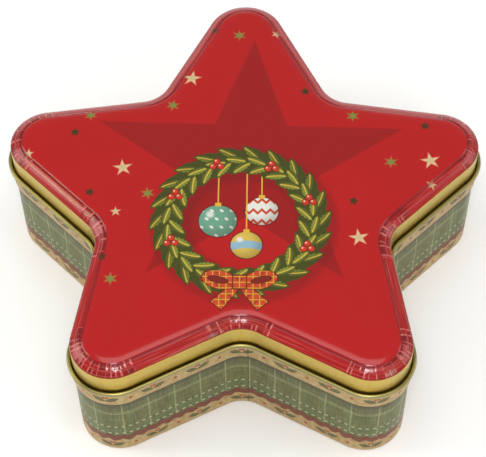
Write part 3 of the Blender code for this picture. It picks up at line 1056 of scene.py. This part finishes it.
def body_print():
    """The varnished print of the body's strip."""
    paint = Paint("body_print")
    place = paint.place()
    u, v = paint.print_place()
    cloud = paint.noise(place, 0.12, 4.0)
    mottle = paint.rise(paint.noise(place, 0.45, 3.0), 0.5, 0.25)
    tan = paint.over(TAN, TAN_DEEP, mottle)
    tan = paint.laid(tan, ink(150, 112, 62), abs(v - BORDER_SHADE), 1.0, 1.6, mottle * 0.5)
    colour = plaid(paint, u, v)
    for level in STITCH_LEVELS:
        colour = stitches(paint, colour, u, v, level)
    sway = (u * (2 * math.pi / BRAID_STEP)).math("SINE") * 0.8
    sway = sway + (paint.noise(place, 0.5) - 0.5) * 1.8
    braid = abs(v - BRAID_LEVEL - sway)
    border = sprig(paint, tan, u, v, SPRIG_LEVEL)
    colour = paint.over(border, colour, paint.rise(v, BRAID_LEVEL, 0.4))
    colour = paint.laid(colour, BRAID_EDGE, braid, 2.1, 0.35)
    woven = paint.over(BRAID, BRAID_DARK, paint.rise(paint.repeat(u + v * 0.6, 1.5), 0.4, 0.4))
    greenish = paint.rise(paint.noise(place, 0.9, 3.0), 0.56, 0.1) * 0.5
    woven = paint.over(woven, BRAID_GREEN, greenish)
    colour = paint.laid(colour, woven, braid, 1.75, 0.3)
    neck = sprig(paint, tan, u, v, NECK_SPRIG_LEVEL)
    colour = paint.over(colour, neck, paint.rise(v, SHOULDER + 0.4, 0.3))
    colour = paint.laid(colour, ink(44, 38, 26), paint.repeat(u, ROUND), 0.24, 0.2, 0.5)
    colour = paint.over(colour, ink(70, 60, 40), cloud * 0.12)
    waves = paint.noise(place, 0.06, 1.0) * 0.35 + paint.noise(place, 1.4) * 0.015
    return paint.finish(
        Base_Color=colour,
        Roughness=0.32 + cloud * 0.1,
        Specular_IOR_Level=0.2,
        Normal=paint.bumped(waves, 0.35),
    )


row = np.arange(len(body.data.polygons)) // (len(body_around) - 1)
in_curl = np.abs(row - len(outer_face) + 0.5) < len(curl_line)
# The curl takes the third material, the lacquer darkened with painted shade.
numbers = np.where(in_curl, 2, row >= len(outer_face))
paint_faces(body, [body_print(), LACQUER, SHADED_RIM_LACQUER], numbers)
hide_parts("body")
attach(body, "tin")

# %% [markdown]
# ## The bottom plate
#
# The plate is pressed with a raised middle, so that the tin stands on its foot and not on the
# plate. Its edge is turned up along the wall. Underneath it is bare tin, with the faint grain of
# the rolling mill running one way; inside it is lacquered like the rest.

# %% The bottom's section and mesh
PLATE_LOW = 0.6
PLATE_RAISE = 1.0
PLATE_BORDER = 7.0
PLATE_SLOPE = 1.0
PLATE_EDGE = 3.6
PLATE_MIDDLE = 14.0
PLATE_JOIN = 3.0

plate_low = PLATE_LOW + half_sheet
plate_wall = -SHEET - 0.3 - half_sheet
raised = plate_low + PLATE_RAISE
plate_line = rounded([
    (-PLATE_MIDDLE, raised), (-PLATE_BORDER - PLATE_SLOPE, raised), (-PLATE_BORDER, plate_low),
    (-PLATE_JOIN, plate_low),
], 0.55, 15)
edge_line = rounded([
    (-PLATE_JOIN, plate_low), (plate_wall, plate_low), (plate_wall, PLATE_EDGE),
], 1.05, 15)[1:]
plate_line = np.concatenate([plate_line, edge_line])
under = face_of(plate_line, -1)
above = face_of(plate_line, 1)[::-1]
bottom_section, bottom_shrink = closed_in(under, above)
bottom_around = columns(1.0, 0.9, 6.0)
bottom_points, bottom_height = carried(bottom_section, bottom_around, bottom_shrink)
bottom = grid_mesh("bottom_plate", bottom_points, bottom_around, bottom_height, False)


# %% Bare tinplate
def tinplate():
    """Bright rolled tin: grain along one way, soft clouds and a few rubbed spots."""
    paint = Paint("bare_tin")
    place = paint.place()
    grain = paint.grain(place, (0.03, 2.4, 1.0), 4.0)
    cloud = paint.noise(place, 0.05, 4.0)
    rubbed = paint.rise(paint.noise(place, 0.25, 3.0), 0.68, 0.12)
    colour = paint.over(ink(206, 204, 196), ink(184, 182, 172), cloud)
    return paint.finish(
        Base_Color=paint.over(colour, ink(150, 146, 134), rubbed * 0.5),
        Metallic=1.0,
        Roughness=0.26 + grain * 0.12 + rubbed * 0.2,
        Normal=paint.bumped(grain * 0.01 + cloud * 0.2, 0.5),
    )


upper = second_face(bottom, bottom_section, bottom_around, len(RINGS) + len(under))
paint_faces(bottom, [tinplate(), LACQUER], upper)
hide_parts("bottom")
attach(bottom, "tin")

# %% [markdown]
# ## Floor, light and camera
#
# The tin stands on a plain white floor. Varnished metal shows mostly what it mirrors, so each lamp
# is placed for the slopes that mirror it. What the flat panel mirrors stays free of lamps, so its
# red stays deep. The small strong lamp in front is for the bevel's front slopes and their
# creases, the small ones at the sides are for the slopes there, and the low ones behind for the
# far edges. The large one overhead gives soft light. The camera looks down from in front.

# %% Floor and lights
floor_mesh = bpy.data.meshes.new("floor")
FLOOR_HALF = 4.0
FLOOR_Z = -0.0001
floor_corners = [(x * FLOOR_HALF, y * FLOOR_HALF, FLOOR_Z)
                 for x, y in ((-1, -1), (1, -1), (1, 1), (-1, 1))]
floor_mesh.from_pydata(floor_corners, [], [(0, 1, 2, 3)])
floor = new_object("floor", floor_mesh)
floor_paint = Paint("floor_white")
floor.data.materials.append(floor_paint.finish(Base_Color=(0.96, 0.96, 0.96, 1.0), Roughness=0.9))

world = bpy.data.worlds.new("studio")
bpy.context.scene.world = world
world.use_nodes = True
sky = world.node_tree.nodes["Background"].inputs
sky["Color"].default_value = (1.0, 0.99, 0.98, 1.0)
sky["Strength"].default_value = 0.53


def soft_light(name, azimuth, elevation, distance, width, height, brightness, tint=(1.0, 1.0, 1.0)):
    """A soft box facing the tin.

    Its power is brightness * pi * area, so that brightness is how white it looks in a mirror.
    """
    light = bpy.data.lights.new(name, 'AREA')
    light.shape = 'RECTANGLE'
    light.size = width
    light.size_y = height
    light.energy = brightness * math.pi * width * height
    light.color = tint
    turn, rise = math.radians(azimuth), math.radians(elevation)
    level = distance * math.cos(rise)
    place = Vector((level * math.cos(turn), level * math.sin(turn), distance * math.sin(rise)))
    obj = new_object(name, light)
    obj.location = place
    obj.rotation_euler = (-place).to_track_quat('-Z', 'Y').to_euler()


soft_light("overhead", -90, 84, 1.5, 1.0, 0.62, 2.6)
soft_light("front", -90, 61, 1.3, 0.26, 0.14, 30.0)
soft_light("fill", -90, 30, 2.0, 1.8, 0.6, 1.0)
soft_light("left", -176, 45, 1.3, 0.2, 0.2, 7.5, (0.9, 1.0, 0.66))
soft_light("right", -43, 38, 1.3, 0.3, 0.2, 6.0, (1.0, 0.96, 0.85))
soft_light("back left", 172, 30, 1.7, 0.8, 0.8, 3.4)
soft_light("back right", 8, 30, 1.7, 0.8, 0.8, 1.9)
soft_light("horizon", 90, 6, 2.6, 5.0, 0.5, 1.15)

# %% Camera
ELEVATION = math.radians(57.67)
AZIMUTH = math.radians(1.323)
ROLL = math.radians(-0.768)
DISTANCE = 0.7678
FOCAL_PIXELS = 1664.8
CENTRE_PIXEL = (244.4, 274.0)
PHOTO_SIZE = (486, 457)
SENSOR = 36.0

back = np.array([math.sin(AZIMUTH) * math.cos(ELEVATION), -math.cos(AZIMUTH) * math.cos(ELEVATION),
                 math.sin(ELEVATION)])
level = np.array([math.cos(AZIMUTH), math.sin(AZIMUTH), 0.0])
upright = np.cross(back, level)
right = level * math.cos(ROLL) + upright * math.sin(ROLL)
top = upright * math.cos(ROLL) - level * math.sin(ROLL)
target = np.array([0.0, CENTRE_Y * MM, 0.0])
turn = Matrix(np.stack([right, top, back], -1).tolist()).to_4x4()
camera_data = bpy.data.cameras.new("camera")
camera_data.sensor_width = SENSOR
camera_data.lens = SENSOR * FOCAL_PIXELS / PHOTO_SIZE[0]
camera_data.shift_x = (PHOTO_SIZE[0] / 2 - CENTRE_PIXEL[0]) / PHOTO_SIZE[0]
camera_data.shift_y = (CENTRE_PIXEL[1] - PHOTO_SIZE[1] / 2) / PHOTO_SIZE[0]
camera = new_object("camera", camera_data)
camera.matrix_world = Matrix.Translation((target + DISTANCE * back).tolist()) @ turn
bpy.context.scene.camera = camera
bpy.context.scene.view_settings.view_transform = 'Standard'
